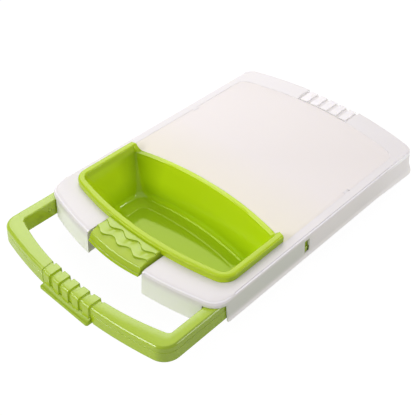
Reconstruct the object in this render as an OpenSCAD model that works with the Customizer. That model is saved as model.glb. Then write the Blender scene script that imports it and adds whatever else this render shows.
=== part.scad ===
// Over-sink cutting board with a lift-out tray and a pull-out handle.
// +X is the board's right seen from the handle, +Y runs from the handle to the back edge, +Z is up.
// The origin is under the middle of the whole assembly, at the level of its lowest face.

/* [Board] */
// Width across the top edge
board_w = 250; // [236:1:280]
// Length between the middles of the bowed front and back edges
board_l = 366; // [350:1:420]
// Height of the skirt, from the top surface to its lower edge
skirt_h = 29; // [28.5:0.5:36]
// How far the skirt leans out over its height
skirt_flare = 2.3; // [1:0.1:3]
// How much further the skirt's lower edge leans out round the back corners
back_lip = 2.5; // [1:0.1:3]
// Thickness of the moulded walls
wall = 2.4; // [2:0.1:2.8]
// Radius of the bowed front edge
front_r = 390; // [350:5:480]
// Radius of the bowed back edge
back_r = 415; // [360:5:500]
// Radius of the front corners in plan
front_corner_r = 20; // [17:1:24]
// Radius of the back corners in plan
back_corner_r = 15; // [12:1:20]
// How far the skirt's side walls reach round the front corners
port_in = 3.3; // [1:0.1:5]
// Rounding of the front edge
front_round = 5; // [3:0.5:6]
// Rounding of the back edge
back_round = 2; // [1:0.5:3]
// Width of the fine ledge along the side edges
ledge_w = 2; // [1.5:0.1:3]
// Depth of the ribs under the deck
rib_h = 8; // [4:0.5:12]
// Thickness of the ribs under the deck
rib_t = 1.8; // [1.4:0.1:2.4]

/* [Cutting panel] */
// Thickness of the inset panel
panel_t = 3.2; // [2.6:0.1:4]
// How far the panel lies below the border
panel_drop = 0.8; // [0.4:0.1:1.2]
// Width of the border beside the panel
border_w = 11; // [9:0.5:14]
// Width of the border behind the panel
back_border = 28; // [24:1:34]
// Radius of the panel's back corners
panel_corner_r = 14; // [8:1:18]
// Gap round the panel
panel_gap = 0.3; // [0.2:0.05:0.5]
// Length of the two keys that locate the panel
key_l = 8; // [5:0.5:12]
// How far the keys reach into the panel
key_in = 3; // [2:0.5:4]
// Distance of the keys from the front edge
key_y = 234; // [200:1:270]

/* [Tray] */
// Length of the tray between the middles of its front and back rims
tray_l = 115; // [100:1:126]
// Distance from the tray's rim to the board's side edge
tray_side = 12; // [11:0.5:16]
// Distance from the tray's rim to the board's front edge
tray_front = 29.6; // [27:0.1:34]
// Depth of the tray's floor below the board's top
tray_depth = 49; // [42:0.5:56]
// Thickness of the tray's walls
tray_wall = 2.2; // [1.8:0.1:2.6]
// How far the walls lean in for each millimetre of depth
tray_slope = 0.43; // [0.36:0.01:0.46]
// Height of the raised rim above the board
rim_h = 8; // [6:0.5:10]
// Width of the raised rim
rim_w = 7.5; // [7:0.1:9]
// Width of the ramps that lead from the raised rim down to the low one
ramp_w = 8; // [5:0.5:10]
// Width of the low rim at the tray's back
back_rim_w = 6.5; // [5.5:0.1:8]
// Radius of the tray's front rim
tray_front_r = 420; // [360:5:480]
// Radius of the tray's back rim
tray_back_r = 380; // [330:5:430]
// Radius of the rim's front corners
rim_corner_r = 18; // [14:0.5:20]
// Radius of the upright inside corners at the floor
floor_corner_r = 17; // [13:0.5:20]
// Radius between the walls and the floor
floor_round = 9; // [6:0.5:11]
// Gap between the tray and the board's opening
tray_gap = 1; // [0.8:0.1:1.4]
// Gap under the rim where it lies on the board
seat_gap = 0.2; // [0.1:0.05:0.3]
// Width of the tray's finger tab
tab_w = 74; // [60:1:84]
// Height of the tab's wavy ridges above the board
tab_h = 5.6; // [5:0.1:6.4]
// Height of each ridge's wavy front
tab_step = 1.9; // [1.4:0.1:2.2]
// Fall of each ridge's top for each millimetre towards the tray
tab_fall = 0.14; // [0.1:0.01:0.16]
// How far the tab's front face leans back
tab_lean = 5.4; // [4:0.1:6]
// Depth of the tab's front face below the board's top
tab_drop = 8; // [7:0.5:9]
// How far the tab stands out past the board's front edge
tab_out = 3.9; // [3:0.1:5]
// Radius of the tab's front in plan
tab_r = 200; // [150:5:300]
// Length of one wave on the tab
wave_l = 23; // [18:0.5:28]
// Half height of the waves
wave_a = 2.4; // [1.5:0.1:3]
// Gap on each side of the tab in the board's notch
notch_gap = 3.4; // [2:0.1:5]

/* [Handle] */
// Reach of the pulled-out handle beyond the board's front edge, to the tip of its tongue
reach = 65.9; // [62:0.1:72]
// How far the handle pushes in
travel = 38; // [20:1:38]
// Width of the arms at the top
arm_w = 12.3; // [11:0.1:13.5]
// Height of the arms and the crossbar
handle_h = 19.2; // [16:0.1:19.6]
// Wall of the hollow handle
handle_wall = 2.4; // [2:0.1:3]
// Length of the arms behind the board's front edge
arm_l = 160; // [158:1:175]
// Width of the crossbar at its middle
bar_w = 13.2; // [12:0.1:15]
// Radius of the crossbar's inner edge
bar_in_r = 345; // [320:5:400]
// Radius of the crossbar's outer edge
bar_out_r = 500; // [420:10:600]
// Outside corner radius of the handle
handle_corner_r = 17; // [15:1:20]
// Inside corner radius of the handle
handle_inner_r = 5; // [3:0.5:7]
// Rounding of the handle's upper outer edge
handle_round = 3.2; // [2:0.1:4]
// Width of the tongue under the grip
tongue_w = 72; // [56:1:90]
// How far the tongue stands out past the crossbar
tongue_out = 6.8; // [5:0.1:10]
// Thickness of the tongue
tongue_t = 3.2; // [2.4:0.1:4]
// How far the tongue's underside lies below the crossbar
tongue_low = 0.5; // [0.3:0.1:0.8]
// Running gap above and below the arms
run_gap = 0.4; // [0.3:0.05:0.6]
// Running gap beside the arms
side_gap = 0.6; // [0.5:0.05:0.8]
// How far the stop lugs stand out of the arms
lug_out = 1.1; // [0.9:0.1:1.3]
// Length of the stop lugs
lug_l = 6; // [4:0.5:7]
// Height of the stop lugs
lug_h = 6.5; // [5:0.5:8]
// Length of the windows in the skirt
window_l = 8; // [7.5:0.5:10]
// Height of the windows in the skirt
window_h = 15; // [13:0.5:16]
// Distance of the windows from the front edge
window_y = 151; // [148:1:154]
// Diameter of the round pips inside the arms
pip_d = 5; // [3:0.5:7]
// How far the pips stand out of the arms
pip_out = 0.8; // [0.5:0.1:1]

/* [Grips] */
// Number of raised ribs on each grip
grip_n = 5; // [3:1:6]
// Distance from one grip rib to the next
grip_pitch = 14.5; // [12:0.5:15]
// Width of each grip rib
grip_rib_w = 9; // [7:0.5:10]
// Plain length at each end of a grip
grip_end = 4.5; // [3:0.5:6]
// Height of the handle's grip ribs above the bar
grip_up = 1; // [0.6:0.1:1.4]
// Depth of the grooves between the handle's grip ribs
grip_groove = 0.8; // [0.5:0.1:1.2]
// Depth of the grooves between the board's grip ribs
back_groove = 2.2; // [1.5:0.1:2.6]
// Depth of the grooves down the back of the skirt
back_groove_h = 14; // [10:1:18]

/* [Feet] */
// Diameter of the rubber feet
foot_d = 15; // [12:0.5:18]
// Thickness of the rubber feet
foot_t = 2.5; // [2:0.1:4]
// How far the feet stand below the skirt
foot_out = 1.2; // [0.6:0.1:1.8]
// Diameter of the feet's stems
stem_d = 8; // [6:0.5:9]
// Length of the feet's stems
stem_l = 5; // [3:0.5:8]
// Gap round and above the stems
stem_gap = 0.1; // [0.05:0.05:0.2]
// Distance of the front feet from the side edges
front_foot_in = 50; // [41:1:60]
// Distance of the front feet from the front edge
front_foot_y = 20; // [16:0.5:22]
// Distance of the back feet from the side edges
back_foot_in = 33; // [29:1:55]
// Distance of the back feet from the back edge
back_foot_y = 46; // [42:1:70]

/* [Hidden] */
over = 0.5;
arc_steps = 14;
corner_steps = 5;
round_steps = 4;

// Heights below the board's top surface
deck_z = -(panel_drop + panel_t);
under_z = deck_z - wall;
handle_top = under_z - run_gap;
handle_low = handle_top - handle_h;
rail_z = handle_low - run_gap;
rail_t = 1.8;
foot_seat = -(skirt_h + foot_out - foot_t);
// Height of the board's top surface above the lowest face, and place of its front edge
top_z = max(tray_depth + tray_wall, skirt_h + foot_out);
front_y = (reach - board_l - skirt_flare - back_lip) / 2;

// Half widths and stations
half_w = board_w / 2;
panel_hw = half_w - border_w;
tray_hw = half_w - tray_side;
tray_back = tray_front + tray_l;
basin_hw = tray_hw - rim_w - rim_h * tray_slope;
basin_front = tray_front + rim_w + rim_h * tray_slope;
basin_back = tray_back - back_rim_w;
skin = tray_wall * sqrt(1 + tray_slope * tray_slope);
notch_hw = tab_w / 2 + notch_gap;
arm_hw = half_w - wall - side_gap;
arm_in = arm_hw - arm_w;
guide_t = 2.2;
apron_hw = arm_in - pip_out - side_gap;
bar_front = -reach + tongue_out;
bar_back = bar_front + bar_w;
grip_hw = (grip_n - 1) / 2 * grip_pitch + grip_rib_w / 2 + grip_end;
grip_slot = 2;
port_y = front_r - corner_rise(front_r, front_corner_r, half_w);
round_end = 6;
lip_l = 90;
lip_h = 0.62 * skirt_h;
inner_round = 3;
ledge_h = 0.8;
lug_z = handle_low + handle_h / 2 - lug_h;
groove_in = lug_out - side_gap + 0.4;
slot_end = window_y + window_l / 2 + travel;
collar_h = 12;
bridge_z = -tab_drop - 1.5;
tab_pocket = 2.4;
front_foot_x = half_w - front_foot_in;
back_foot_x = half_w - back_foot_in;
key_side = 5;
chamfer = 0.8;
big_fn = 720;
small_fn = 96;

// Points along an arc, from angle a to angle b
function arc(c, r, a, b, n) = [for (i = [0:n]) c + r * [cos(a + (b - a) * i / n), sin(a + (b - a) * i / n)]];

// How far a bowed edge of radius r falls back at a distance x from its middle
function bow(r, x) = r - sqrt(r * r - x * x);

// Centre height of a corner arc that meets the straight side and a bow of radius r
function corner_rise(r, c, hw) = sqrt((r - c) * (r - c) - (hw - c) * (hw - c));

// Angle at which a corner arc meets its bow
function corner_angle(r, c, hw) = atan2(corner_rise(r, c, hw), hw - c);

// Bowed back end of an outline with its round corners, from the right side to the left
function bowed_back(hw, y, r, c) =
    let (a = corner_angle(r, c, hw), p = [hw - c, y - r + corner_rise(r, c, hw)])
    concat(arc(p, c, 0, a, corner_steps),
        [for (i = [1:arc_steps - 1]) let (b = a + (180 - 2 * a) * i / arc_steps)
            [r * cos(b), y - r + r * sin(b)]],
        arc([-p.x, p.y], c, 180 - a, 180, corner_steps));

// Bowed front end of an outline, from the left side to the right
function bowed_front(hw, y, r, c) = [for (p = bowed_back(hw, -y, r, c)) -p];

// Outline with straight sides, bowed ends and round corners, anticlockwise from the right side
function barrel(hw, yf, yb, rf, rb, cf, cb) = concat(bowed_back(hw, yb, rb, cb), bowed_front(hw, yf, rf, cf));

// The same outline grown outwards by e
function grown(hw, yf, yb, rf, rb, cf, cb, e) =
    barrel(hw + e, yf - e, yb + e, rf + e, rb + e, cf + e, cb + e);

// Outline of the board at growth and height ef, zf round the front and eb, zb elsewhere, with a further
// growth lip round the back corners, anticlockwise from the middle of the front
function board_ring(ef, zf, eb, zb, lip = 0) =
    let (front = at_height(bowed_front(half_w + ef, -ef, front_r + ef, front_corner_r + ef), zf),
         last = len(front) - 1,
         sides = [[half_w + eb, port_y + round_end, zb], [half_w + eb, board_l - lip_l, zb]],
         e = eb + lip)
    concat([for (i = [floor(last / 2):last]) front[i]], sides,
        at_height(bowed_back(half_w + e, board_l + e, back_r + e, back_corner_r + eb), zb),
        [for (p = [sides[1], sides[0]]) [-p.x, p.y, p.z]], [for (i = [0:floor(last / 2) - 1]) front[i]]);

// Outline of the tray's outer rim, grown by e
function rim_ring(e) =
    grown(tray_hw, tray_front, tray_back, tray_front_r, tray_back_r, rim_corner_r, 3, e);

// Outline of the tray's basin at height z, grown by e, with back rim at y
function basin_ring(z, e, y) =
    let (lean = z * tray_slope + e,
         mix = min(1, max(0, -z / tray_depth)),
         c = floor_corner_r * mix + e)
    barrel(basin_hw + lean, basin_front - lean, y + lean,
           tray_front_r, tray_back_r, max(3, 9 * (1 - mix) + c), max(3, 5 * (1 - mix) + c));

// Outline of the handle's outer side, grown by e
function handle_ring(e) =
    let (hw = arm_hw + e)
    concat([[hw, arm_l], [-hw, arm_l]], bowed_front(hw, bar_front - e, bar_out_r + e, handle_corner_r + e));

// Outline of the tongue under the handle's grip
function tongue_ring() =
    let (hw = tongue_w / 2, c = tongue_out * 0.7, y = bar_front + 4)
    concat([[hw, y], [-hw, y]],
        arc([c - hw, c - reach], c, 180, 270, corner_steps), arc([hw - c, c - reach], c, 270, 360, corner_steps));

// Outline of the space inside the handle, grown by e
function finger_ring(e) =
    let (hw = arm_in + e)
    concat([[hw, arm_l + 10], [-hw, arm_l + 10]],
        bowed_front(hw, bar_back - e, bar_in_r + e, handle_inner_r + e));

// Outline of the cutting panel, grown by e: its front edge follows the tray's back rim
function panel_ring(e) =
    let (hw = panel_hw + e)
    concat(bowed_back(hw, board_l - back_border + e, back_r - back_border + e, panel_corner_r + e),
        [for (i = [0:arc_steps]) let (x = -hw + 2 * hw * i / arc_steps)
            [x, tray_back - bow(tray_back_r, x) + panel_gap - e]]);

function at_height(ring, z) = [for (p = ring) [p.x, p.y, z]];

// Skirt's outer face at a depth d below the top, measured out from the top edge
function lean_at(d) = skirt_flare * d / skirt_h;

// Points of a rounding of radius r at the skirt's upper edge: growth and height
function round_edge(r) =
    [for (i = [0:round_steps]) let (a = 90 * i / round_steps)
        [-r + (r + lean_at(r)) * cos(a), -r + r * sin(a)]];

module place() translate([0, front_y, top_z]) children();

module both_sides() {
    children();
    mirror([1, 0, 0]) children();
}

// Solid through a stack of rings that have equal numbers of points
module loft(rings) {
    n = len(rings[0]);
    last = len(rings) - 1;
    polyhedron(
        points = [for (r = rings) each r],
        faces = concat(
            [[for (i = [0:n - 1]) i]],
            [for (k = [0:last - 1], i = [0:n - 1]) let (j = (i + 1) % n)
                each [[k * n + i, (k + 1) * n + j, k * n + j], [k * n + i, (k + 1) * n + i, (k + 1) * n + j]]],
            [[for (i = [n - 1:-1:0]) last * n + i]]));
}

// Flat layer of an outline between two heights
module slab(ring, z0, z1) translate([0, 0, z0]) linear_extrude(z1 - z0) polygon(ring);

// Box between two corners
module block(a, b) translate(a) cube(b - a);

// Section carried round an arc
module arc_run(section, c, r, a0, a1, fn)
    translate([c.x, c.y, 0]) rotate([0, 0, a0])
        rotate_extrude(angle = a1 - a0, $fn = fn) translate([r, 0]) polygon(section);

// Shell of the board: top plate and flared skirt with round edges
module shell() {
    front = round_edge(front_round);
    back = round_edge(back_round);
    deep = skirt_h + over;
    ledge_back = board_l - back_r + corner_rise(back_r, back_corner_r, half_w);
    difference() {
        loft(concat([board_ring(skirt_flare, -skirt_h, skirt_flare, -skirt_h, back_lip),
                     board_ring(lean_at(lip_h), -lip_h, lean_at(lip_h), -lip_h)],
            [for (i = [0:round_steps]) board_ring(front[i].x, front[i].y, back[i].x, back[i].y)]));
        loft([for (p = [[lean_at(deep) - wall, -deep, back_lip], [lean_at(lip_h) - wall, -lip_h, 0],
                        [-wall, -wall - inner_round, 0], [-wall - inner_round, -wall, 0]])
            board_ring(p.x, p.y, p.x, p.y, p.z)]);
        both_sides()
            block([half_w - ledge_w, port_y + round_end + 2, -ledge_h], [half_w + wall, ledge_back, over]);
    }
    both_sides()
        block([notch_hw, bow(front_r, notch_hw) + over, over - skirt_h], [notch_hw + wall, 9, -wall / 2]);
}

// Shell with the sunk deck under the panel and the tray's back rim
module deck() {
    shell();
    slab(panel_ring(panel_gap + wall), under_z, -wall / 2);
    slab(rim_ring(0), under_z, -wall / 2);
}

// Room for the panel and for the tray's back rim
module recess() {
    slab(panel_ring(panel_gap), deck_z, over);
    intersection() {
        slab(rim_ring(panel_gap), deck_z, over);
        block([-basin_hw - 1, tray_front + tray_l / 2, deck_z - over], [basin_hw + 1, tray_back + over, over]);
    }
}

// Collar under the tray's opening, the arms' guides and the ribs under the deck
module underside() {
    difference() {
        slab(basin_ring(0, skin + tray_gap + guide_t, basin_back), -wall - collar_h, -wall / 2);
        slab(basin_ring(0, skin + tray_gap, basin_back), -wall - collar_h - over, over);
    }
    rib_top = under_z + wall / 2;
    rib_low = under_z - rib_h;
    rib_back = board_l - back_border - wall;
    both_sides() {
        guide_x = basin_hw + skin + tray_gap;
        block([guide_x, tray_back - 20, -wall - collar_h], [guide_x + guide_t, slot_end + 8, rib_top]);
        block([half_w - wall - arm_w + 2, window_y - 100, rail_z - rail_t],
              [half_w + lean_at(-rail_z) - wall / 2, slot_end + 6, rail_z]);
        for (x = [grip_hw / 2, grip_hw * 1.6])
            block([x - rib_t / 2, tray_back, rib_low], [x + rib_t / 2, rib_back - bow(back_r, x), rib_top]);
        for (p = [[front_foot_x, front_foot_y], [back_foot_x, board_l - back_foot_y]])
            translate([p.x, p.y, foot_seat]) cylinder(d = foot_d, h = -foot_seat - wall / 2, $fn = small_fn);
    }
    for (i = [1:4])
        let (y = tray_back + (rib_back - tray_back) * i / 5)
            block([-basin_hw, y - rib_t / 2, rib_low], [basin_hw, y + rib_t / 2, rib_top]);
}

// Thick ground under the grip at the board's back edge
module grip_ground() {
    a = asin((grip_hw + wall) / back_r);
    low = under_z - wall / 4;
    section = [[wall / 2 - back_border, -wall / 2], [wall / 2 - back_border, low], [-2 * wall, low],
               [lean_at(back_groove_h) - 2 * wall, -back_groove_h - wall],
               [lean_at(back_groove_h) - wall / 2, -back_groove_h - wall], [-wall / 2, -wall]];
    arc_run(section, [0, board_l - back_r], back_r, 90 - a, 90 + a, big_fn);
}

// Section of a cut of depth d over the grip's top and down its back, with its far sides moved by s
function grip_cut(d, s) =
    let (x = wall + s - back_border, low = s - back_groove_h)
    [[x, 3 + s], [x, -d], [-d - 1.5, -d], [-d, -d - 2], [lean_at(-low) - d / 2, low + 2],
     [lean_at(-low) + 0.1, low], [6 + s, low], [6 + s, 3 + s]];

// Grooves between the ribs of the board's grip, and the slot that parts the grip from the panel
module grip_grooves() {
    a = asin((grip_hw + wall) / back_r);
    gap = grip_pitch - grip_rib_w;
    floor = deck_z - wall / 4;
    slot = [[-back_border - 1, 2], [-back_border - 1, floor], [grip_slot - back_border, floor],
            [grip_slot - back_border, 2]];
    module band(section, x0, x1) intersection() {
        arc_run(section, [0, board_l - back_r], back_r, 90 - a, 90 + a, big_fn);
        block([x0, board_l - back_border - 8, -skirt_h], [x1, board_l + 10, 8]);
    }
    band(slot, -grip_hw + 2, grip_hw - 2);
    band(grip_cut(0.6, 0.4), -grip_hw, grip_hw);
    for (i = [1:grip_n - 1])
        let (x = (i - grip_n / 2) * grip_pitch) band(grip_cut(back_groove, 0), x - gap / 2, x + gap / 2);
    for (i = [-1, 1])
        let (x = i * (grip_hw - grip_end / 2))
            band(grip_cut(back_groove, 0), x - grip_end / 2 + 0.1, x + grip_end / 2 - 0.2);
}

// Room for an arm where the skirt's side wall begins to curve in
module arm_room() translate([0, port_y + 1, 0]) rotate([90, 0, 0]) linear_extrude(port_in + 2) {
    in = wall + 0.05;
    deep = skirt_h + over;
    polygon([[apron_hw, under_z], [half_w + lean_at(-under_z) - in, under_z],
             [half_w + lean_at(deep) - in, -deep], [apron_hw, -deep]]);
}

module board_body() color("whitesmoke") place() difference() {
    union() {
        difference() {
            union() {
                deck();
                underside();
                grip_ground();
            }
            recess();
        }
        both_sides()
            block([panel_hw - key_in, key_y - key_l / 2, deck_z - wall / 2],
                  [panel_hw + key_side, key_y + key_l / 2, 0]);
    }
    grip_grooves();
    slab(basin_ring(0, skin + tray_gap, basin_back), -wall - collar_h - over, over);
    block([-notch_hw, -10, bridge_z], [notch_hw, basin_front, over]);
    block([-notch_hw, -10, -skirt_h - over], [notch_hw, tray_front, bridge_z + over]);
    both_sides() {
        block([apron_hw, -10, -skirt_h - over], [half_w + 10, port_y - port_in, under_z]);
        arm_room();
        block([half_w - 10, window_y - window_l / 2, handle_top - window_h],
              [half_w + 10, window_y + window_l / 2, handle_top + 1]);
        block([arm_hw - 1, window_y - window_l / 2, lug_z - run_gap],
              [half_w + lean_at(-lug_z) - wall + groove_in, slot_end, lug_z + lug_h + run_gap]);
        for (p = [[front_foot_x, front_foot_y], [back_foot_x, board_l - back_foot_y]])
            translate([p.x, p.y, foot_seat - over])
                cylinder(d = stem_d + 2 * stem_gap, h = stem_l + stem_gap + over, $fn = small_fn);
    }
}

module cutting_panel() color("ivory") place() difference() {
    union() {
        slab(panel_ring(0), deck_z, -panel_drop - chamfer / 2);
        slab(panel_ring(-chamfer / 2), deck_z + chamfer, -panel_drop);
    }
    both_sides()
        block([panel_hw - key_in - panel_gap, key_y - key_l / 2 - panel_gap, deck_z - over],
              [panel_hw + over, key_y + key_l / 2 + panel_gap, over]);
}

// Rings of a basin with a round floor: e is the growth, d the depth and r the rounding
function basin_rings(e, d, r, top) =
    concat([for (i = [0:round_steps]) let (a = 90 - 90 * i / round_steps, z = -d + r * (1 - sin(a)))
               at_height(basin_ring(z, e - r * (1 - cos(a)), basin_back), z)],
           [at_height(basin_ring(-d / 2, e, basin_back), -d / 2), at_height(basin_ring(top, e, basin_back), top)]);

// Raised rim round the sides and the front
module raised_rim() {
    r = 2.4;
    loft(concat([at_height(rim_ring(0), seat_gap)],
        [for (i = [0:round_steps]) let (a = 90 * i / round_steps)
            at_height(rim_ring(-r * (1 - cos(a))), rim_h - r + r * sin(a))]));
}

// Finger tab: a block with a leaning front face, and two wavy ridges on its top
module tab() {
    hw = tab_w / 2;
    top = tab_h - tab_step;
    edge = top - 2.8;
    back = basin_front - skin + 0.3;
    function tab_ring(e) =
        concat([[hw, back], [-hw, back]],
            [for (i = [0:arc_steps]) let (x = -hw + 2 * hw * i / arc_steps)
                [x, -tab_out + e + bow(tab_r, x)]]);
    function wave_ring(y) =
        concat([[hw, back], [-hw, back]],
            [for (i = [0:3 * arc_steps]) let (x = -hw + 2 * hw * i / (3 * arc_steps))
                [x, y - wave_a * cos(360 * x / wave_l)]]);
    module ridge(y) intersection() {
        slab(wave_ring(y), top - tab_pocket, tab_h + 1);
        translate([-hw - 1, 0, 0]) rotate([90, 0, 90]) linear_extrude(tab_w + 2)
            polygon([[y - 5, -1], [back + 1, -1], [back + 1, tab_h - tab_fall * (back + 1 - y)],
                     [y - 5, tab_h + tab_fall * 5]]);
    }
    difference() {
        union() {
            loft([for (p = [[0, -tab_drop], [tab_lean - 0.5, edge - 0.6], [tab_lean, edge],
                            [tab_lean + 0.8, edge + 0.3], [tab_lean + 11.6, top]])
                at_height(tab_ring(p.x), p.y)]);
            ridge(13.3);
            ridge(25.3);
        }
        block([-hw + tab_pocket, 9, -tab_drop - over], [hw - tab_pocket, tray_front, top - tab_pocket]);
        block([-hw + tab_pocket, 2.4, -tab_drop - over], [hw - tab_pocket, 9 + over, -2]);
    }
}

// Ramps at the ends of the raised rim
module rim_ramps() difference() {
    intersection() {
        slab(rim_ring(-0.4), -over, rim_h);
        both_sides()
            translate([0, tray_back, 0]) rotate([90, 0, 0]) linear_extrude(tray_l / 3)
                polygon([[tray_hw - rim_w / 2, seat_gap], [tray_hw - rim_w - ramp_w, seat_gap],
                         [tray_hw - rim_w, rim_h - 1], [tray_hw - rim_w / 2, rim_h - 1]]);
    }
    loft([for (z = [-over, rim_h + over]) at_height(basin_ring(z, 0, basin_back), z)]);
}

module drain_tray() color("yellowgreen") place() {
    rim_ramps();
    difference() {
        union() {
            loft(basin_rings(skin, tray_depth + tray_wall, floor_round + tray_wall, seat_gap + over));
            raised_rim();
            intersection() {
                slab(rim_ring(0), deck_z + seat_gap, 0.3);
                block([-basin_hw, tray_front + tray_l / 2, deck_z], [basin_hw, tray_back + over, over]);
            }
            tab();
        }
        loft(basin_rings(0, tray_depth, floor_round, 0.3));
        loft([for (z = [0.3, rim_h + over]) at_height(basin_ring(z, 0, tray_back + 40), z)]);
    }
}

// Body of the handle grown by g on its outer, inner and upper faces
module handle_bar(g) difference() {
    loft(concat([at_height(handle_ring(g + lean_at(-handle_low)), handle_low)],
        [for (i = [0:round_steps]) let (a = 90 * i / round_steps, z = handle_top - handle_round * (1 - sin(a)))
            at_height(handle_ring(g + lean_at(-handle_top + handle_round) - handle_round * (1 - cos(a))), z + g)]));
    slab(finger_ring(-g), handle_low - over, handle_top + 5);
}

module grip_zone(hw) block([-hw, -reach, handle_low - 1], [hw, bar_back + 5, handle_top + 5]);

module slide_handle() color("yellowgreen") place() {
    difference() {
        union() {
            difference() {
                handle_bar(0);
                grip_zone(grip_hw);
            }
            intersection() {
                handle_bar(-grip_groove);
                grip_zone(grip_hw + over);
            }
            intersection() {
                handle_bar(grip_up);
                union() for (i = [0:grip_n - 1])
                    translate([(i - (grip_n - 1) / 2) * grip_pitch, 0, 0]) grip_zone(grip_rib_w / 2);
            }
            slab(tongue_ring(), handle_low - tongue_low, handle_low - tongue_low + tongue_t);
            both_sides() {
                block([arm_hw - 1, window_y - window_l / 2 + 0.5, lug_z],
                      [half_w + lean_at(-lug_z) - wall - side_gap + lug_out,
                       window_y - window_l / 2 + 0.5 + lug_l, lug_z + lug_h]);
                translate([arm_in - pip_out, 6, handle_low + handle_h / 2])
                    rotate([0, 90, 0]) cylinder(d = pip_d, h = 2, $fn = small_fn);
            }
        }
        difference() {
            slab(handle_ring(-handle_wall), handle_low - over, handle_top - handle_wall);
            slab(finger_ring(handle_wall), handle_low - 2 * over, handle_top);
        }
    }
}

module foot(x, y) color("dimgray") place() translate([x, y, foot_seat - foot_t]) {
    cylinder(d1 = foot_d - 2 * chamfer, d2 = foot_d, h = chamfer, $fn = small_fn);
    translate([0, 0, chamfer]) cylinder(d = foot_d, h = foot_t - chamfer, $fn = small_fn);
    translate([0, 0, foot_t - over]) cylinder(d = stem_d, h = stem_l + over, $fn = small_fn);
}
module foot_front_left() foot(-front_foot_x, front_foot_y);
module foot_front_right() foot(front_foot_x, front_foot_y);
module foot_back_left() foot(-back_foot_x, board_l - back_foot_y);
module foot_back_right() foot(back_foot_x, board_l - back_foot_y);

board_body();
cutting_panel();
drain_tray();
slide_handle();
foot_front_left();
foot_front_right();
foot_back_left();
foot_back_right();
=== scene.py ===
import math

import bmesh
import bpy
import numpy as np
from mathutils import Matrix


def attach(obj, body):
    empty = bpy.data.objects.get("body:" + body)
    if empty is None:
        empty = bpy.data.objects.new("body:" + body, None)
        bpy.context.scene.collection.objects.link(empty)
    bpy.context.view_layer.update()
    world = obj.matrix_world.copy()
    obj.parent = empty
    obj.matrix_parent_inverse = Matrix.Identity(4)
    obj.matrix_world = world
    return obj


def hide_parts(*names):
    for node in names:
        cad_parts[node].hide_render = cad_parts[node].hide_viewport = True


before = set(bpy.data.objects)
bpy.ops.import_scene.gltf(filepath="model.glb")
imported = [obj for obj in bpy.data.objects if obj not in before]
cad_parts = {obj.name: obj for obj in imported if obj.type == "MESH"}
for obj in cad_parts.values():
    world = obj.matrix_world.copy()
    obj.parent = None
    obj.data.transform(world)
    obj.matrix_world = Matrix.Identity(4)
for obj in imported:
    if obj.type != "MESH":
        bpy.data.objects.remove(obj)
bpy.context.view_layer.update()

# Sizes in millimetres, measured from the board's front edge and top surface as in the solids
MM_PER_M = 1000
FRONT_Y = -152.45
TOP_Z = 51.2

# Board
BOARD_L = 366.0
BACK_R = 415.0
SKIRT_H = 29.0
FLARE = 2.3
DECK_Z = -4.0
WINDOW_Y = 151.0

# Panel
PANEL_HW = 114.0
PANEL_DROP = 0.15
PANEL_EDGE_R = 0.15
PANEL_GROW = 0.4
PANEL_CORNER_R = 14.0
BACK_BORDER = 28.0
TRAY_GAP = 0.03
KEY_Y = 234.0
KEY_HALF_L = 4.3
KEY_IN = 3.3

# Tray, with the inset and drop of each point on the low rim's outer edge
TRAY_HW = 113.0
TRAY_FRONT = 29.6
TRAY_BACK = 144.6
TRAY_FRONT_R = 420.0
TRAY_BACK_R = 380.0
TRAY_TOP = 0.3
TRAY_DEPTH = 50.2
TRAY_LOW = 51.2
TRAY_WALL = 2.2
TRAY_SLOPE = 0.43
BACK_SLOPE = 0.37
BASIN_FIRST_Z = -2.0
BACK_CORNER_R = 2.5
FRONT_CORNER_R = 9.0
LEAST_FRONT_R = 3.0
FLOOR_CORNER_R = 17.0
FLOOR_ROUND = 10.5
FLOOR_RING = 1.5
FLOOR_SKIN = 0.1
# Share of the floor's round above which the band for the painted highlight line starts
HIGHLIGHT_LINE_SHARE = 0.57
LIP_R = 1.0
LIP_FADE = 8
LOW_RIM_EDGE = ((0.6, 0.0), (0.2, 0.15), (0.0, 0.6))
RIM_H = 8.0
RIM_W = 7.5
RIM_MID = 3.0
RIM_SEAT = 0.2
RIM_IN_R = 1.6
RIM_OUT_R = 2.4
RIM_TURN = 0.4
RIM_CORNER_R = 18.0
BACK_RIM_W = 6.5
RAMP_W = 8.0
RAMP_IN = 0.6
RAMP_LOW = 0.25
RAMP_DROP = 1.0
RAMP_CURVE = 0.9
RAMP_SET_IN = 0.4
RAMP_SINK = 0.2
RAMP_R = 1.4

# Tab, with its front face as shares of the height and the groove's depth, and edges as steps along and up
TAB_HW = 37.0
TAB_H = 5.6
TAB_STEP = 1.9
TAB_FALL = 0.14
TAB_LEAN = 5.4
TAB_DROP = 8.0
TAB_OUT = 3.9
TAB_IN = 1.0
TAB_R = 200.0
TAB_SIDE_R = 1.2
TAB_LIP_DROP = 2.8
TAB_SLOPE_L = 7.6
TAB_FACE = ((0.0, 0.0), (0.27, 0.0), (0.3, 0.8), (0.38, 0.8), (0.41, 0.0), (0.7, 0.0), (1.0, 0.0))
TAB_FACE_TOP = (-0.9, -0.8)
TAB_EDGE = ((-0.45, -0.37), (0.0, 0.06), (0.5, 0.37), (1.0, 0.5))
RIDGES = (10.3, 22.3)
RIDGE_FOOT = ((-0.35, 0.0), (-0.08, 0.1), (0.0, 0.4))
RIDGE_HEAD = ((0.08, -0.5), (0.3, -0.12))
RIDGE_W = 0.8
WAVE_L = 24.0
WAVE_A = 2.4

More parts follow.
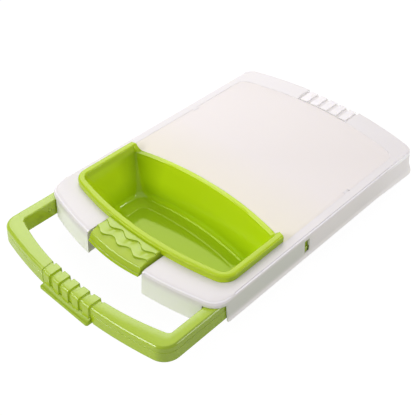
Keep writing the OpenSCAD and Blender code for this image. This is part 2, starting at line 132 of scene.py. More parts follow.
# Handle, with the heights of the rows down its outer face and the fine groove's depth there
REACH = 65.9
ARM_HW = 122.0
ARM_W = 12.3
ARM_L = 160.0
ARM_STOPS = (ARM_L, 110.0, 60.0, 20.0, -10.0)
HANDLE_TOP = -6.8
HANDLE_LOW = -26.0
HANDLE_WALL = 2.4
HANDLE_MID = -16.0
HANDLE_CORNER_R = 17.0
HANDLE_INNER_R = 5.0
HANDLE_ROUND = 3.2
INNER_EDGE_R = 1.2
LOW_EDGE = 0.4
EDGE_FLAT = 0.8
EDGE_TURNS = (0, 11, 22, 33, 43, 47, 57, 68, 79, 90)
OUTER_ROWS = ((-22.0, 0.0), (-18.0, 0.0), (-14.7, 0.0), (-14.4, 0.4), (-13.8, 0.4), (-13.5, 0.0))
BAR_FRONT = -59.1
BAR_BACK = -45.9
BAR_OUT_R = 500.0
BAR_IN_R = 345.0
BAR_SPAN = 100.0
GRIP_HW = 38.0
GRIP_MARGIN = 2.0
GRIP_FADE = 0.8
GRIP_RIBS = 5
GRIP_PITCH = 14.5
GRIP_RIB_W = 9.0
GRIP_FLANK = 0.6
GRIP_UP = 1.0
GRIP_GROOVE = 0.8
GRIP_LOW_SHARE = 0.5
GRIP_EDGE_SHARE = 0.6

# Tongue under the grip
TONGUE_HW = 36.0
TONGUE_T = 3.2
TONGUE_LOW = 0.5
TONGUE_IN = 4.0
TONGUE_CORNER_R = 2.5
TONGUE_EDGE_R = 1.0
ROOT_H = 3.4
ROOT_IN = 0.8
ROOT_CURVE = 1.5
ROOT_SINK = 0.2

# Lugs and pips on the arms
LUG_LOW = -22.9
LUG_TOP = -16.4
LUG_FRONT = 3.5
LUG_BACK = 2.5
LUG_ROOT = 0.5
LUG_OUT = 1.1
LUG_EDGE = 0.4
PIP_Y = 6.0
PIP_Z = -16.4
PIP_R = 2.5
PIP_H = 0.8
PIP_TURN = 80

BASIN_HW = TRAY_HW - RIM_W - RIM_H * TRAY_SLOPE
BASIN_FRONT = TRAY_FRONT + RIM_W + RIM_H * TRAY_SLOPE
BASIN_BACK = TRAY_BACK - BACK_RIM_W
SKIN = TRAY_WALL * math.hypot(1, TRAY_SLOPE)
ARM_IN = ARM_HW - ARM_W

# Shading: angles in degrees past which an edge stays sharp, and how flat the copied faces stay
SMOOTH_ANGLE = 32.0
FLAT_ANGLE = 12.0
FLAT_WEIGHT = 80
WELD_M = 2e-6

# Studio, in metres, watts and degrees
FLOOR_SIZE = 12
FLOOR_Z = -0.0005
FLOOR_TONES = (0.84, 0.88)
FLOOR_CLOUD = 30.0
FLOOR_GLOW = 1.05
GLOW_SHARE = 0.92
WORLD_LIGHT = 0.47
MIDDLE = (0.0, 0.0, 0.05)
NEARLY_UP = (0.0, 0.01, 1.0)
CAMERA_AT = (0.4374339, -0.4753473, 0.5901198)
CAMERA_TILT = 48.0973
CAMERA_TURN = 43.5564
SENSOR_MM = 36.0
LENS_MM = 66.675


# Outlines

def bow(r, x):
    return r - np.sqrt(r * r - x * x)


def back_arc(x):
    """Back edge of the tray's low rim."""
    return TRAY_BACK - bow(TRAY_BACK_R, x)


def quarter(steps):
    """Angles of a quarter turn."""
    return np.radians(np.linspace(0, 90, steps + 1))


def smooth_step(t):
    t = np.clip(t, 0.0, 1.0)
    return t * t * (3 - 2 * t)


def lean(z):
    """How far the skirt and the handle lean out at height z."""
    return FLARE * -z / SKIRT_H


def bowed_back(hw, y, r, c, corner=12, middle=48):
    """Bowed end with two round corners, from the right side to the left, as points in plan."""
    rise = math.sqrt((r - c) ** 2 - (hw - c) ** 2)
    turn = math.atan2(rise, hw - c)
    centre = np.array([hw - c, y - r + rise])
    right = [centre + c * np.array([math.cos(a), math.sin(a)]) for a in np.linspace(0, turn, corner + 1)]
    bend = np.linspace(turn, math.pi - turn, middle + 1)[1:-1]
    arc = [np.array([r * math.cos(a), y - r + r * math.sin(a)]) for a in bend]
    left = [p * (-1, 1) for p in reversed(right)]
    return np.array(right + arc + left)


def bowed_front(hw, y, r, c):
    return -bowed_back(hw, -y, r, c)


def basin_end(z, e, back):
    """Back or front half of the tray's basin at height z, grown by e."""
    side = z * TRAY_SLOPE + e
    mix = min(1.0, max(0.0, -z / TRAY_DEPTH))
    if back:
        c = BACK_CORNER_R + (FLOOR_CORNER_R - BACK_CORNER_R) * mix ** 2 + e
        y = BASIN_BACK + z * BACK_SLOPE + e
        return bowed_back(BASIN_HW + side, y, TRAY_BACK_R, max(BACK_CORNER_R, c))
    c = FRONT_CORNER_R * (1 - mix) + FLOOR_CORNER_R * mix + e
    return bowed_front(BASIN_HW + side, BASIN_FRONT - side, TRAY_FRONT_R, max(LEAST_FRONT_R, c))


def basin_ring(z, e):
    """Whole basin at height z, grown by e."""
    return np.vstack([raise_to(basin_end(z, e, back), z) for back in (True, False)])


def rim_front(e):
    return bowed_front(TRAY_HW + e, TRAY_FRONT - e, TRAY_FRONT_R + e, RIM_CORNER_R + e)


def raise_to(points, z):
    z = np.broadcast_to(z, len(points))
    return np.column_stack([points, z])


# Meshes

class Build:
    """Collects rows of points into one mesh."""

    def __init__(self):
        self.points = []
        self.faces = []

    def row(self, points):
        first = len(self.points)
        self.points.extend(np.asarray(points, float))
        return list(range(first, first + len(points)))

    def strip(self, a, b, closed=False):
        n = len(a)
        for i in range(n if closed else n - 1):
            j = (i + 1) % n
            self.faces.append((a[i], a[j], b[j], b[i]))

    def skin(self, rows, closed=False):
        made = [self.row(r) for r in rows]
        for a, b in zip(made, made[1:]):
            self.strip(a, b, closed)
        return made

    def cap(self, row):
        self.faces.append(tuple(row))

    def fan(self, row):
        centre = self.row([np.mean([self.points[i] for i in row], axis=0)])[0]
        for a, b in zip(row, row[1:] + row[:1]):
            self.faces.append((a, b, centre))

    def wall(self, row, z):
        """Wall from a row of points straight down to height z."""
        high = np.array([self.points[i] for i in row])
        self.skin([high, raise_to(high[:, :2], z)])

    def finish(self, name, body, node, material):
        shift = np.array([0, FRONT_Y, TOP_Z])
        mesh = bpy.data.meshes.new(name)
        mesh.from_pydata([tuple((p + shift) / MM_PER_M) for p in self.points], [], self.faces)
        return settle(mesh, name, body, node, material, SMOOTH_ANGLE)


def settle(mesh, name, body, node, material, sharp):
    """Welds, turns the faces outwards, shades and joins a mesh to its body."""
    work = bmesh.new()
    work.from_mesh(mesh)
    bmesh.ops.remove_doubles(work, verts=work.verts, dist=WELD_M)
    bmesh.ops.recalc_face_normals(work, faces=work.faces)
    work.to_mesh(mesh)
    work.free()
    mesh.materials.clear()
    mesh.materials.append(material)
    mesh.polygons.foreach_set("use_smooth", [True] * len(mesh.polygons))
    mesh.set_sharp_from_angle(angle=math.radians(sharp))
    piece = bpy.data.objects.new(name, mesh)
    bpy.context.scene.collection.objects.link(piece)
    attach(piece, body)
    if node:
        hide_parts(node)
    return piece


# Materials, with lengths in metres

MOTTLE = 0.02
CLOUD_SCALE = 9.0
CLOUD_DETAIL = 3.0
CLOUD_RANGE = (0.3, 0.7)
CLOUD_GLOSS = 0.1
GRAIN_SCALE = 700.0
GRAIN_H = 0.0003
GLOW_REACH = (0.006, 0.006, 0.004)
EDGE_SAMPLES = 4


def plastic(name, colour, rough, specular=0.5, sheen=(1.0, 1.0, 1.0), subsurface=0.0, grain=0.02,
            edge=0.0005, tints=()):
    """Moulded plastic: a faint cloud in the colour and the gloss, a fine grain and softened edges.
    Each tint is a colour and the ranges over which it comes in, by place (x, y, z, or wide for
    the distance from the middle) or by the way a face looks (front, side, up)."""
    m = bpy.data.materials.new(name)
    m.use_nodes = True
    nodes, links = m.node_tree.nodes, m.node_tree.links
    shader = nodes["Principled BSDF"]
    shader.inputs["Base Color"].default_value = (*colour, 1)
    shader.inputs["Roughness"].default_value = rough
    shader.inputs["Specular IOR Level"].default_value = specular
    shader.inputs["Specular Tint"].default_value = (*sheen, 1)
    shader.inputs["Subsurface Weight"].default_value = subsurface
    shader.inputs["Subsurface Radius"].default_value = GLOW_REACH
    shader.inputs["Subsurface Scale"].default_value = 1.0
    place = nodes.new("ShaderNodeTexCoord")
    spot = nodes.new("ShaderNodeSeparateXYZ")
    links.new(place.outputs["Object"], spot.inputs["Vector"])
    surface = nodes.new("ShaderNodeNewGeometry")
    facing = nodes.new("ShaderNodeSeparateXYZ")
    links.new(surface.outputs["Normal"], facing.inputs["Vector"])

    def work_out(kind, first, second=None):
        step = nodes.new("ShaderNodeMath")
        step.operation = kind
        links.new(first, step.inputs[0])
        if second:
            links.new(second, step.inputs[1])
        return step.outputs["Value"]

    def spread(value, start, end, low=0.0, high=1.0):
        span = nodes.new("ShaderNodeMapRange")
        span.inputs["From Min"].default_value = start
        span.inputs["From Max"].default_value = end
        span.inputs["To Min"].default_value = low
        span.inputs["To Max"].default_value = high
        links.new(value, span.inputs["Value"])
        return span.outputs["Result"]

    def blend(first, factor, second):
        mix = nodes.new("ShaderNodeMix")
        mix.data_type = "RGBA"
        links.new(factor, mix.inputs["Factor"])
        if isinstance(first, tuple):
            mix.inputs[6].default_value = (*first, 1)
        else:
            links.new(first, mix.inputs[6])
        mix.inputs[7].default_value = (*second, 1)
        return mix.outputs[2]

    measures = {"x": spot.outputs["X"], "y": spot.outputs["Y"], "z": spot.outputs["Z"],
                "front": facing.outputs["Y"], "up": facing.outputs["Z"],
                "side": work_out("ABSOLUTE", facing.outputs["X"]),
                "wide": work_out("ABSOLUTE", spot.outputs["X"])}
    cloud = nodes.new("ShaderNodeTexNoise")
    cloud.inputs["Scale"].default_value = CLOUD_SCALE
    cloud.inputs["Detail"].default_value = CLOUD_DETAIL
    links.new(place.outputs["Object"], cloud.inputs["Vector"])
    dark = tuple(c * (1 - MOTTLE) for c in colour)
    light = tuple(min(1.0, c * (1 + MOTTLE)) for c in colour)
    tone = blend(dark, spread(cloud.outputs["Fac"], *CLOUD_RANGE), light)
    # Each tint blends its colour in over its ranges; the tints by the way a face looks paint light and
    # shade
    for tint, ranges in tints:
        amount = None
        for measure, start, end in ranges:
            part = spread(measures[measure], start, end)
            amount = work_out("MULTIPLY", amount, part) if amount else part
        tone = blend(tone, amount, tint)
    links.new(tone, shader.inputs["Base Color"])
    gloss = spread(cloud.outputs["Fac"], 0.0, 1.0, rough * (1 - CLOUD_GLOSS), rough * (1 + CLOUD_GLOSS))
    links.new(gloss, shader.inputs["Roughness"])
    fine = nodes.new("ShaderNodeTexNoise")
    fine.inputs["Scale"].default_value = GRAIN_SCALE
    links.new(place.outputs["Object"], fine.inputs["Vector"])
    soft = nodes.new("ShaderNodeBevel")
    soft.samples = EDGE_SAMPLES
    soft.inputs["Radius"].default_value = edge
    bump = nodes.new("ShaderNodeBump")
    bump.inputs["Strength"].default_value = grain
    bump.inputs["Distance"].default_value = GRAIN_H
    links.new(fine.outputs["Fac"], bump.inputs["Height"])
    links.new(soft.outputs["Normal"], bump.inputs["Normal"])
    links.new(bump.outputs["Normal"], shader.inputs["Normal"])
    return m


# Ranges that several tints share
FRONT_FACE = ("front", -0.3, -0.95)
SIDE_FACE = ("side", 0.7, 0.95)
AT_SIDES = ("wide", 0.08, 0.1)
BELOW_EDGE = ("z", 0.0505, 0.0465)

white = plastic("white_plastic", (0.80, 0.755, 0.76), 0.35, subsurface=0.1, edge=0.0002, tints=(
    # Painted greenish light on the front faces, and a dimmer greenish painted light on the inner end of the
    # right one
    ((0.97, 0.97, 0.9), (FRONT_FACE, ("z", 0.0485, 0.04))),
    ((0.84, 0.88, 0.78), (FRONT_FACE, ("z", 0.0485, 0.046), ("x", 0.0415, 0.0405), ("x", 0.0365, 0.037))),
    # Slight painted shade on the side walls, with painted light towards the back and along the lower edge
    ((0.79, 0.755, 0.715), (SIDE_FACE, AT_SIDES, BELOW_EDGE)),
    ((0.88, 0.84, 0.82), (SIDE_FACE, BELOW_EDGE, ("y", 0.1, 0.2))),
    ((0.94, 0.9, 0.87), (SIDE_FACE, ("z", 0.029, 0.0245))),
    # Painted greenish shade on the front of the side walls, standing in for the arms that show faintly
    # through them
    ((0.62, 0.625, 0.55), (SIDE_FACE, AT_SIDES, ("z", 0.0265, 0.0315), BELOW_EDGE, ("y", 0.01, -0.01))),
    # Painted shade on the step of the ledge along the sides, and painted light on the ledge
    ((0.6, 0.55, 0.58), (SIDE_FACE, ("z", 0.0503, 0.0505))),
    ((0.98, 0.94, 0.97), (("up", 0.6, 0.9), ("z", 0.0507, 0.0505), ("z", 0.049, 0.05))),
    # Painted light on the flanks of the ribs on the back grip, against the shade between them
    ((1.0, 0.985, 0.975), (("up", 0.85, 0.5), ("z", 0.0465, 0.0475), ("y", 0.14, 0.17)))))

cream = plastic("cream_plastic", (0.86, 0.795, 0.67), 0.5, specular=0.35, subsurface=0.1, tints=(
    # Away from the tray
    ((0.86, 0.795, 0.78), (("y", -0.03, 0.06),)),))

# The greens here and for the tray are copies of one green plastic, lighter or darker by where they sit:
# painted light and shade
green = plastic("green_plastic", (0.40, 0.55, 0.012), 0.16, specular=0.85, subsurface=0.04, grain=0.01,
                tints=(
                    # Painted shade on the outer face of the right corner and arm
                    ((0.285, 0.41, 0.003), (("side", 0.2, 0.6), ("x", 0.085, 0.1))),))

# The tongue's darker copy of the green is painted shade; its finish is also rougher
tongue_green = plastic("tongue_plastic", (0.36, 0.5, 0.02), 0.3, specular=0.35, subsurface=0.04, grain=0.01)

tab_green = plastic("tab_plastic", (0.41, 0.56, 0.014), 0.18, specular=0.65, subsurface=0.04, grain=0.01,
                    tints=(
                        # Painted light on the top behind the front edge, and painted shade on the front
                        # faces of the ridges
                        ((0.48, 0.62, 0.07), (("up", 0.8, 0.95), ("y", -0.14, -0.143))),
                        ((0.32, 0.46, 0.01), (("front", -0.4, -0.85), ("y", -0.1475, -0.1465)))))

# Painted shade in the left back corner of the basin
LEFT_BACK_CORNER_SHADE = ((0.27, 0.42, 0.002), (("x", -0.06, -0.1), ("y", -0.06, -0.03), ("z", 0.06, 0.05)))
TRAY_TINTS = (
    # Painted shade deep in the basin
    ((0.36, 0.54, 0.003), (("z", 0.03, 0.004),)),
    LEFT_BACK_CORNER_SHADE,
    # Painted shade on the raised rim, and deeper painted shade on its outer face on the right
    ((0.45, 0.61, 0.012), (("z", 0.052, 0.055),)),
    ((0.32, 0.47, 0.004), (("side", 0.5, 0.9), ("x", 0.108, 0.111), ("z", 0.0585, 0.0565))))


def tray_plastic(name, colour, rough, specular, sheen, tints):
    return plastic(name, colour, rough, specular, sheen, subsurface=0.06, grain=0.008, tints=tints)


# Copies of the tray's green: the walls; a glossier floor; the round into the floor, a little lighter and
# less glossy, as painted light; and a lighter, glossier band at the top of the round for a painted
# highlight line
tray_green = tray_plastic("tray_plastic", (0.53, 0.72, 0.008), 0.08, 0.45, (1.0, 0.94, 0.7), TRAY_TINTS)
floor_green = tray_plastic("tray_floor_plastic", (0.46, 0.68, 0.008), 0.08, 0.75, (0.84, 0.92, 0.2),
                           TRAY_TINTS)
round_green = tray_plastic("tray_round_plastic", (0.39, 0.585, 0.002), 0.08, 0.42, (0.85, 0.95, 0.2),
                           (LEFT_BACK_CORNER_SHADE,))
highlight_line_green = tray_plastic("tray_highlight_line_plastic", (0.45, 0.66, 0.004), 0.06, 1.0, (1.0, 1.0, 0.8),
                          (LEFT_BACK_CORNER_SHADE,))
rubber = plastic("foot_rubber", (0.55, 0.55, 0.53), 0.7, specular=0.3, grain=0.1)


# Tray

def add_basin_inside(b, inner, lip):
    """Inside of the basin, from its edge down to a floor whose outermost ring is flat too."""
    front = basin_end(TRAY_TOP, 0, False)
    rows = [np.vstack([raise_to(inner, TRAY_TOP - lip), raise_to(front, TRAY_TOP)])]
    rows += [basin_ring(z, 0) for z in np.linspace(BASIN_FIRST_Z, FLOOR_ROUND - TRAY_DEPTH, 10)]
    for a in quarter(10)[1:]:
        z = -TRAY_DEPTH + FLOOR_ROUND * (1 - math.sin(a))
        rows.append(basin_ring(z, -FLOOR_ROUND * (1 - math.cos(a))))
    rows.append(basin_ring(-TRAY_DEPTH, -FLOOR_ROUND - FLOOR_RING))
    b.fan(b.skin(rows, closed=True)[-1])


def add_low_rim(b, inner, lip):
    """Low rim against the panel, with a round inner edge."""
    along = np.linspace(1, -1, len(inner)) * inner[0][0]
    outer = np.column_stack([along, back_arc(along)])
    way = outer - inner
    way /= np.linalg.norm(way, axis=1)[:, None]
    rows = []
    for a in quarter(5):
        shift = lip * (1 - math.cos(a))
        rows.append(raise_to(inner + way * shift[:, None], TRAY_TOP - lip + lip * math.sin(a)))
    for inset, drop in LOW_RIM_EDGE:
        rows.append(raise_to(outer - way * inset, TRAY_TOP - drop))
    rows.append(raise_to(outer, DECK_Z + RIM_SEAT))
    rows.append(raise_to(inner + way * SKIN, DECK_Z + RIM_SEAT))
    b.skin(rows)


def add_raised_rim(b):
    """Raised rim round the sides and the front, with its ends on the arc of the low rim."""
    def run(points, z):
        hw = abs(points[0][0])
        end = back_arc(hw)
        return raise_to(np.vstack([[-hw, end], points, [hw, end]]), z)

    shoulder = RIM_H - RIM_IN_R
    rows = [run(basin_end(z, 0, False), z) for z in (TRAY_TOP, RIM_MID, shoulder)]
    for a in quarter(6)[1:]:
        e = RIM_IN_R * (1 - math.cos(a)) + RIM_TURN * math.sin(a)
        rows.append(run(basin_end(shoulder, e, False), shoulder + RIM_IN_R * math.sin(a)))
    for a in quarter(8)[::-1]:
        z = RIM_H - RIM_OUT_R * (1 - math.sin(a))
        rows.append(run(rim_front(-RIM_OUT_R * (1 - math.cos(a))), z))
    rows.append(run(rim_front(0), RIM_SEAT))
    rows.append(run(basin_end(RIM_SEAT, SKIN, False), RIM_SEAT))
    made = b.skin(rows)
    for end in (0, -1):
        b.cap([row[end] for row in made])


def add_ramps(b, inner):
    """Ramps that lead from the ends of the raised rim down to the low one."""
    edge = inner[:len(inner) // 2][::-1]
    foot = TRAY_HW - RIM_W - RAMP_W
    head = TRAY_HW - RIM_W + RAMP_IN
    low = TRAY_TOP - RAMP_SINK
    for side in (1, -1):
        rows = []
        for x in np.linspace(foot, head, 13):
            z = RAMP_LOW + (RIM_H - RAMP_DROP) * smooth_step((x - foot) / (head - foot)) ** RAMP_CURVE
            near = np.interp(x, edge[:, 0], edge[:, 1])
            far = back_arc(x) - RAMP_SET_IN
            r = min(RAMP_R, z / 2)
            crest = near + (z - TRAY_TOP) * BACK_SLOPE
            up = [(crest + r * (1 - math.cos(a)), z - r * (1 - math.sin(a))) for a in quarter(5)]
            down = [(far - r * (1 - math.cos(a)), z - r * (1 - math.sin(a))) for a in quarter(5)[::-1]]
            rows.append([(x * side, y, h) for y, h in [(near, low), *up, *down, (far, low)]])
        b.skin(rows)


def add_basin_outside(b):
    r = FLOOR_ROUND + TRAY_WALL
    rows = [basin_ring(z, SKIN) for z in np.linspace(RIM_SEAT, r - TRAY_LOW, 8)]
    for a in quarter(8)[1:]:
        rows.append(basin_ring(-TRAY_LOW + r * (1 - math.sin(a)), SKIN - r * (1 - math.cos(a))))
    b.fan(b.skin(rows, closed=True)[-1])


def make_tray():
    b = Build()
    inner = basin_end(TRAY_TOP, 0, True)
    step = np.arange(len(inner))
    lip = LIP_R * smooth_step(step / LIP_FADE) * smooth_step(step[::-1] / LIP_FADE)
    add_basin_inside(b, inner, lip)
    add_low_rim(b, inner, lip)
    add_raised_rim(b)
    add_ramps(b, inner)
    add_basin_outside(b)
    piece = b.finish("tray", "tray", "drain_tray", tray_green)
    for material in (round_green, floor_green, highlight_line_green):
        piece.data.materials.append(material)
    # Faces take copies of the green by height: the floor, the round into it, and near the round's top the
    # band for the painted highlight line
    for face in piece.data.polygons:
        height = face.center.z * MM_PER_M - TOP_Z + TRAY_DEPTH
        if height < FLOOR_SKIN:
            face.material_index = 2
        elif height < FLOOR_ROUND:
            face.material_index = 3 if height > HIGHLIGHT_LINE_SHARE * FLOOR_ROUND else 1
    return piece


# Tab

def make_tab():
    """Finger tab: a block with a leaning front face and two wavy ridges that fall towards the tray."""
    b = Build()
    top = TAB_H - TAB_STEP
    lip = top - TAB_LIP_DROP
    back = BASIN_FRONT - SKIN + TAB_IN
    side = TAB_HW - TAB_SIDE_R * (1 - np.cos(quarter(6)))
    x = np.concatenate([-side, np.linspace(-side[-1], side[-1], 181)[1:-1], side[::-1]])
    inset = np.clip(TAB_SIDE_R - (TAB_HW - np.abs(x)), 0, TAB_SIDE_R)
    drop = TAB_SIDE_R - np.sqrt(np.maximum(0.0, TAB_SIDE_R ** 2 - inset ** 2))
    front = bow(TAB_R, x) - TAB_OUT
    wave = -WAVE_A * np.cos(2 * math.pi * x / WAVE_L)

    def row(y, z, share=1.0):
        return np.column_stack([x, np.broadcast_to(y, len(x)), z - drop * share])

    def apron(y):
        """Height of the top in front of the ridges."""
        start = TAB_LEAN + TAB_EDGE[-1][0]
        return np.interp(y - front, (start, start + TAB_SLOPE_L), (lip + TAB_EDGE[-1][1], top))

    # Front face with a fine groove, its edge and the slope behind it
    foot = np.array([0.0, -TAB_DROP])
    head = np.array([TAB_LEAN, lip]) + TAB_FACE_TOP
    rows = []
    for share, sunk in TAB_FACE:
        e, z = foot + (head - foot) * share
        rows.append(row(front + e + sunk, z, share))
    rows += [row(front + TAB_LEAN + e, lip + z) for e, z in TAB_EDGE]

    # Ridges
    for start in RIDGES:
        y = start + wave
        low = apron(y) if start == RIDGES[0] else TAB_H - TAB_FALL * (y - RIDGES[0])
        high = TAB_H - TAB_FALL * (y - start)
        rows += [row(y + e, low + z) for e, z in RIDGE_FOOT]
        rows += [row(y + e, high + z) for e, z in RIDGE_HEAD]
        rows.append(row(y + RIDGE_W, high - TAB_FALL * RIDGE_W))
    rows.append(row(back, TAB_H - TAB_FALL * (back - RIDGES[-1])))
    made = b.skin(rows)
    for end in (0, -1):
        b.wall([line[end] for line in made], -TAB_DROP)
    return b.finish("tray_tab", "tray", None, tab_green)


# Handle

def handle_line(hw, y, r, c):
    """One edge of the handle in plan, from the left arm's end round the front to the right arm's end."""
    margin = GRIP_HW + GRIP_MARGIN
    plain = np.linspace(-BAR_SPAN, -margin, 24)[:-1]
    across = np.concatenate([plain, np.linspace(-margin, margin, 401), -plain[::-1]])
    rise = math.sqrt((r - c) ** 2 - (hw - c) ** 2)
    turn = math.atan2(rise, hw - c)
    centre = np.array([c - hw, y + r - rise])
    left = [np.array([-hw, stop]) for stop in ARM_STOPS]
    for a in np.linspace(math.pi, math.pi + turn, 15):
        left.append(centre + c * np.array([math.cos(a), math.sin(a)]))
    left += [np.array([x, y + bow(r, x)]) for x in np.linspace(left[-1][0], -BAR_SPAN, 5)[1:-1]]
    middle = [np.array([x, y + bow(r, x)]) for x in across]
    return np.array(left + middle + [p * (-1, 1) for p in reversed(left)])


def normals(points):
    """Outward normals of an open line that runs round the front from left to right."""
    t = np.gradient(points, axis=0)
    n = np.column_stack([t[:, 1], -t[:, 0]])
    return n / np.linalg.norm(n, axis=1)[:, None]


def rib_profile(x):
    """1 on a grip rib, 0 in a groove, with rounded flanks."""
    centres = (np.arange(GRIP_RIBS) - (GRIP_RIBS - 1) / 2) * GRIP_PITCH
    d = np.min(np.abs(x[:, None] - centres[None, :]), axis=1)
    return smooth_step((GRIP_RIB_W / 2 + GRIP_FLANK / 2 - d) / GRIP_FLANK)


def make_handle():
    """U-shaped frame, open below, with a ribbed grip in the middle of its bar."""
    b = Build()
    inner = handle_line(ARM_IN, BAR_BACK, BAR_IN_R, HANDLE_INNER_R)
    outer = handle_line(ARM_HW, BAR_FRONT, BAR_OUT_R, HANDLE_CORNER_R)
    n_in, n_out = normals(inner), normals(outer)
    grip = smooth_step((GRIP_HW + GRIP_FADE / 2 - np.abs(inner[:, 0])) / GRIP_FADE)
    g = grip * ((GRIP_UP + GRIP_GROOVE) * rib_profile(inner[:, 0]) - GRIP_GROOVE)

    def out(e, z):
        return raise_to(outer + n_out * np.broadcast_to(e, len(outer))[:, None], z)

    def within(e, z):
        return raise_to(inner + n_in * np.broadcast_to(e, len(inner))[:, None], z)

    # Outer face from its lower edge up, and the outer edge with its small flat
    foot = lean(HANDLE_LOW)
    shoulder = HANDLE_TOP - HANDLE_ROUND
    rows = [out(foot - LOW_EDGE + g * GRIP_LOW_SHARE, HANDLE_LOW),
            out(foot + g * GRIP_EDGE_SHARE, HANDLE_LOW + LOW_EDGE)]
    for z, cut in OUTER_ROWS:
        rows.append(out(lean(z) + g - cut * (1 - grip), z))
    r = HANDLE_ROUND - EDGE_FLAT
    for a in np.radians(EDGE_TURNS):
        flat = EDGE_FLAT if a > math.pi / 4 else 0.0
        e = lean(shoulder) - r * (1 - math.cos(a)) - flat
        rows.append(out(e + g, shoulder + r * math.sin(a) + flat + g))

    # Inner edge and face, and the hollow
    r = INNER_EDGE_R
    for a in quarter(5)[::-1]:
        rows.append(within(r * (1 - math.cos(a)) - g, HANDLE_TOP - r * (1 - math.sin(a)) + g))
    rows.append(within(-g, HANDLE_MID))
    rows.append(within(-g * GRIP_LOW_SHARE, HANDLE_LOW))
    rows.append(within(HANDLE_WALL, HANDLE_LOW))
    rows.append(within(HANDLE_WALL, HANDLE_TOP - HANDLE_WALL))
    rows.append(out(-HANDLE_WALL, HANDLE_TOP - HANDLE_WALL))
    rows.append(out(foot - HANDLE_WALL, HANDLE_LOW))
    made = b.skin(rows)
    b.strip(made[-1], made[0])
    for end in (0, -1):
        b.cap([row[end] for row in made])
    return b.finish("handle", "handle", "slide_handle", green)


# Tongue

def tongue_ring(e):
    """Outline of the tongue in plan, grown by e."""
    c = TONGUE_CORNER_R
    centre = np.array([c - TONGUE_HW, c - REACH])
    turns = np.linspace(math.pi, 1.5 * math.pi, 10)
    left = [centre + (c + e) * np.array([math.cos(a), math.sin(a)]) for a in turns]
    right = [p * (-1, 1) for p in reversed(left)]
    back = BAR_FRONT + TONGUE_IN
    return np.array([[-TONGUE_HW - e, back]] + left + right + [[TONGUE_HW + e, back]])


def make_tongue():
    """Thin plate under the grip, with round corners and edges, that thickens towards the grip."""
    b = Build()
    c, r = TONGUE_CORNER_R, TONGUE_EDGE_R
    low = HANDLE_LOW - TONGUE_LOW
    top = low + TONGUE_T
    rows = [raise_to(tongue_ring(-LOW_EDGE), low), raise_to(tongue_ring(0), low + LOW_EDGE)]
    for a in quarter(5):
        rows.append(raise_to(tongue_ring(-r * (1 - math.cos(a))), top - r * (1 - math.sin(a))))
    made = b.skin(rows, closed=True)
    b.cap(made[0])
    b.cap(made[-1])

    # Wedge that rises to the grip
    x = np.linspace(-TONGUE_HW + r, TONGUE_HW - r, 49)
    face = BAR_FRONT + bow(BAR_OUT_R, x) - lean(HANDLE_LOW)
    past = np.maximum(0.0, np.abs(x) - TONGUE_HW + c)
    edge = c - REACH - np.sqrt((c - r) ** 2 - np.minimum(past, c - r) ** 2)
    rows = []
    for t in np.linspace(0, 1, 8):
        y = edge + (face + ROOT_IN - edge) * t
        rows.append(raise_to(np.column_stack([x, y]), top + ROOT_H * t ** ROOT_CURVE))
    made = b.skin(rows)
    for end in (0, -1):
        b.wall([row[end] for row in made], top - ROOT_SINK)
    return b.finish("tongue", "handle", None, tongue_green)


# Arms

def add_lug(b, side):
    """Stop lug on the outer face of an arm, which shows in the side window."""
    root = side * (ARM_HW + LUG_ROOT)
    tip = side * (ARM_HW + lean(LUG_LOW) + LUG_OUT)
    y0, y1 = WINDOW_Y - LUG_FRONT, WINDOW_Y + LUG_BACK
    rows = []
    for x, s in ((root, 0.0), (tip - side * LUG_EDGE, 0.0), (tip, LUG_EDGE)):
        low, high = LUG_LOW + s, LUG_TOP - s
        rows.append([(x, y0 + s, low), (x, y1 - s, low), (x, y1 - s, high), (x, y0 + s, high)])
    b.cap(b.skin(rows, closed=True)[-1])


def add_pip(b, side):
    """Round pip on the inner face of an arm."""
    around = np.linspace(0, 2 * math.pi, 24, endpoint=False)
    rows = []
    for a in np.radians(np.linspace(0, PIP_TURN, 6)):
        x = side * (ARM_IN - PIP_H * math.sin(a))
        r = PIP_R * math.cos(a)
        rows.append([(x, PIP_Y + r * math.cos(t), PIP_Z + r * math.sin(t)) for t in around])
    b.cap(b.skin(rows, closed=True)[-1])


def make_arm_details():
    b = Build()
    for side in (-1, 1):
        add_lug(b, side)
        add_pip(b, side)
    return b.finish("arm_details", "handle", None, green)


# Panel

def inset_ring(points, d):
    """Closed outline moved inwards by d at each point."""
    ahead = np.roll(points, -1, axis=0) - points
    ahead /= np.linalg.norm(ahead, axis=1)[:, None]
    behind = np.roll(ahead, 1, axis=0)
    n = np.column_stack([-(ahead[:, 1] + behind[:, 1]), ahead[:, 0] + behind[:, 0]])
    n /= (1 + np.sum(ahead * behind, axis=1))[:, None]
    return points + n * d


def make_panel():
    """Flat panel with softened edges and a notch for the key on each side."""
    b = Build()
    back = bowed_back(PANEL_HW, BOARD_L - BACK_BORDER, BACK_R - BACK_BORDER, PANEL_CORNER_R)
    near, far, deep = KEY_Y - KEY_HALF_L, KEY_Y + KEY_HALF_L, PANEL_HW - KEY_IN
    notch = [(PANEL_HW, near), (deep, near), (deep, far), (PANEL_HW, far)]
    across = np.linspace(-PANEL_HW, PANEL_HW, 61)
    front = np.column_stack([across, back_arc(across) + PANEL_GROW + TRAY_GAP])
    ring = np.vstack([notch, back, [(-x, y) for x, y in reversed(notch)], front])
    ring = inset_ring(ring, -PANEL_GROW)
    r = PANEL_EDGE_R
    rows = [raise_to(ring, DECK_Z), raise_to(ring, -PANEL_DROP - r)]
    for a in quarter(3)[1:]:
        rows.append(raise_to(inset_ring(ring, r * (1 - math.cos(a))), -PANEL_DROP - r * (1 - math.sin(a))))
    made = b.skin(rows, closed=True)
    b.cap(made[0])
    b.cap(made[-1])
    return b.finish("panel", "board", "cutting_panel", cream)


# Board and feet: copies of the solids with their flat faces kept flat

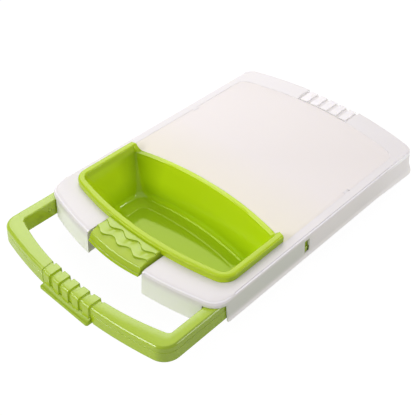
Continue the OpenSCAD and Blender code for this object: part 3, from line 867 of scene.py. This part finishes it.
def copy_of(node, name, body, material):
    piece = settle(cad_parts[node].data.copy(), name, body, node, material, FLAT_ANGLE)
    flat = piece.modifiers.new("flat faces", "WEIGHTED_NORMAL")
    flat.keep_sharp = True
    flat.weight = FLAT_WEIGHT
    return piece


make_tray()
make_tab()
make_handle()
make_tongue()
make_arm_details()
make_panel()
copy_of("board_body", "board", "board", white)
for corner in ("front_left", "front_right", "back_left", "back_right"):
    copy_of(f"foot_{corner}", f"rubber_{corner}", "board", rubber)


# Floor

def floor_material():
    """White floor that shows a faint shadow."""
    m = bpy.data.materials.new("studio_floor")
    m.use_nodes = True
    nodes, links = m.node_tree.nodes, m.node_tree.links
    nodes.clear()
    out = nodes.new("ShaderNodeOutputMaterial")
    paper = nodes.new("ShaderNodeBsdfDiffuse")
    noise = nodes.new("ShaderNodeTexNoise")
    noise.inputs["Scale"].default_value = FLOOR_CLOUD
    ramp = nodes.new("ShaderNodeValToRGB")
    for stop, tone in zip(ramp.color_ramp.elements, FLOOR_TONES):
        stop.color = (tone, tone, tone, 1)
    links.new(noise.outputs["Fac"], ramp.inputs["Fac"])
    links.new(ramp.outputs["Color"], paper.inputs["Color"])
    glow = nodes.new("ShaderNodeEmission")
    glow.inputs["Strength"].default_value = FLOOR_GLOW
    both = nodes.new("ShaderNodeMixShader")
    path = nodes.new("ShaderNodeLightPath")
    amount = nodes.new("ShaderNodeMath")
    amount.operation = "MULTIPLY"
    amount.inputs[1].default_value = GLOW_SHARE
    links.new(path.outputs["Is Camera Ray"], amount.inputs[0])
    links.new(amount.outputs["Value"], both.inputs["Fac"])
    links.new(paper.outputs["BSDF"], both.inputs[1])
    links.new(glow.outputs["Emission"], both.inputs[2])
    links.new(both.outputs["Shader"], out.inputs["Surface"])
    return m


bpy.ops.mesh.primitive_plane_add(size=FLOOR_SIZE, location=(0, 0, FLOOR_Z))
floor = bpy.context.object
floor.name = "floor"
floor.data.materials.append(floor_material())


# Light

def area(name, place, target, size, power):
    """Soft box at a place, turned to its target."""
    data = bpy.data.lights.new(name, "AREA")
    data.shape = "RECTANGLE"
    data.size, data.size_y = size
    data.energy = power
    lamp = bpy.data.objects.new(name, data)
    bpy.context.scene.collection.objects.link(lamp)
    back = np.array(place, float) - np.array(target, float)
    back /= np.linalg.norm(back)
    side = np.cross(NEARLY_UP, back)
    side /= np.linalg.norm(side)
    up = np.cross(back, side)
    lamp.matrix_world = Matrix([[side[i], up[i], back[i], place[i]] for i in range(3)] + [[0, 0, 0, 1]])


def studio_world():
    """Even white light, which the camera sees as a white background."""
    world = bpy.data.worlds.new("studio")
    world.use_nodes = True
    nodes, links = world.node_tree.nodes, world.node_tree.links
    light = nodes["Background"]
    light.inputs["Color"].default_value = (1, 1, 1, 1)
    light.inputs["Strength"].default_value = WORLD_LIGHT
    paper = nodes.new("ShaderNodeBackground")
    paper.inputs["Color"].default_value = (1, 1, 1, 1)
    path = nodes.new("ShaderNodeLightPath")
    both = nodes.new("ShaderNodeMixShader")
    links.new(path.outputs["Is Camera Ray"], both.inputs["Fac"])
    links.new(light.outputs["Background"], both.inputs[1])
    links.new(paper.outputs["Background"], both.inputs[2])
    links.new(both.outputs["Shader"], nodes["World Output"].inputs["Surface"])
    return world


area("back_left", (-0.945, 0.765, 0.955), MIDDLE, (1.2, 0.9), 8.2)
area("front_left", (-0.52, -1.18, 0.76), MIDDLE, (1.25, 0.3), 8.0)
area("back_right", (1.1, 0.73, 0.6), (0.1, 0.0, 0.05), (0.9, 0.25), 3.2)
area("overhead", (0.0, 0.1, 1.8), MIDDLE, (2.0, 2.0), 6.4)
bpy.context.scene.world = studio_world()


# Camera

lens = bpy.data.cameras.new("camera")
lens.sensor_width = SENSOR_MM
lens.lens = LENS_MM
camera = bpy.data.objects.new("camera", lens)
bpy.context.scene.collection.objects.link(camera)
camera.location = CAMERA_AT
camera.rotation_euler = (math.radians(CAMERA_TILT), 0, math.radians(CAMERA_TURN))
bpy.context.scene.camera = camera
bpy.context.scene.view_settings.view_transform = "Standard"
